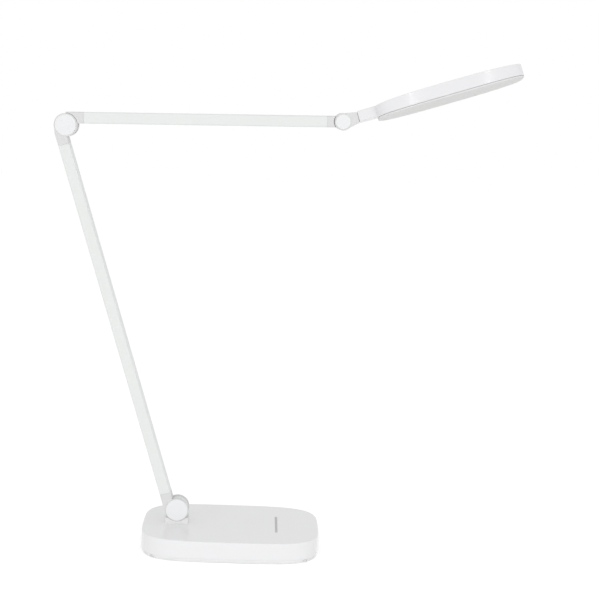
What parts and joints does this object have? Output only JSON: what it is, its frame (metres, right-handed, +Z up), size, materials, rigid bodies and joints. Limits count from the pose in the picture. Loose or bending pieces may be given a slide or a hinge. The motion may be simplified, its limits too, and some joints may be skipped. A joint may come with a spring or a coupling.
{
  "type": "folding desk lamp",
  "caption": "White folding desk lamp: weighted rounded base with a touch slider, two flat-folding arms on friction hinges and a tilting, swivelling oval light pad.",
  "frame": {"origin": "centre of the base's footprint, on the underside of the rubber pad", "axes": "+X along the base towards the lamp head, +Y to the back, +Z up; the three arm hinges are parallel to Y"},
  "size_m": [0.484, 0.13, 0.527],
  "materials": {
    "white_shell": "satin white",
    "white_plate": "matte white",
    "rubber": "matte",
    "cast_weight": "rough",
    "slider_grey": "satin grey",
    "circuit_board": "satin",
    "black_plastic": "satin",
    "lead_copper": "insulated wire",
    "white_metal": "satin white",
    "white_tube": "satin white",
    "grey_fitting": "fine matte grey",
    "cap_white": "satin white",
    "steel": "plain",
    "bare_aluminium": "mill",
    "led_board_white": "white solder mask",
    "led_yellow": "phosphor",
    "reflector_white": "matte",
    "diffuser_frost": "frosted"
  },
  "bodies": {
    "base": {"base_cover": "white_shell", "bottom_plate": "white_plate", "rubber_pad": "rubber", "counterweight": "cast_weight", "weight_screws": "steel", "cover_screws": "steel", "control_board": "circuit_board", "touch_board": "circuit_board", "touch_slider": "slider_grey", "power_inlet": "black_plastic", "base_lead": "lead_copper", "hinge_bracket": "white_metal", "bracket_screws": "steel"},
    "lower_arm": {"lower_arm_tube": "white_tube", "base_fork": "grey_fitting", "elbow_fork": "grey_fitting", "base_hinge_front_cap": "cap_white", "base_hinge_rear_cap": "cap_white", "base_hinge_screw": "steel", "base_hinge_nut": "steel", "base_hinge_washers": "steel", "elbow_front_cap": "cap_white", "elbow_rear_cap": "cap_white", "elbow_screw": "steel", "elbow_nut": "steel", "elbow_washers": "steel", "lower_arm_screws": "steel", "lower_arm_lead": "lead_copper"},
    "upper_arm": {"upper_arm_tube": "white_tube", "elbow_knuckle": "grey_fitting", "head_knuckle": "grey_fitting", "upper_arm_screws": "steel", "upper_arm_lead": "lead_copper"},
    "neck": {"neck_fork": "grey_fitting", "head_hinge_front_cap": "cap_white", "head_hinge_rear_cap": "cap_white", "head_hinge_screw": "steel", "head_hinge_nut": "steel", "head_hinge_washers": "steel", "swivel_clip": "steel"},
    "head": {"head_shell": "white_shell", "heat_plate": "bare_aluminium", "led_board": "led_board_white", "led_chips": "led_yellow", "reflector_frame": "reflector_white", "diffuser": "diffuser_frost", "head_screws": "steel", "head_lead": "lead_copper"}
  },
  "joints": [
    {"name": "base_hinge", "type": "hinge", "parent": "base", "child": "lower_arm", "pos_m": [-0.0586, 0, 0.0379], "axis": [0, 1, 0], "range_deg": [-27.8, 62.2]},
    {"name": "elbow_hinge", "type": "hinge", "parent": "lower_arm", "child": "upper_arm", "pos_m": [-0.18469, 0, 0.44523], "axis": [0, -1, 0], "range_deg": [-36, 105]},
    {"name": "head_tilt", "type": "hinge", "parent": "upper_arm", "child": "neck", "pos_m": [0.10162, 0, 0.46018], "axis": [0, 1, 0], "range_deg": [-73, 106]},
    {"name": "head_swivel", "type": "hinge", "parent": "neck", "child": "head", "pos_m": [0.13582, 0, 0.47142], "axis": [0.95, 0, 0.3123], "range_deg": [-81, 98]}
  ]
}
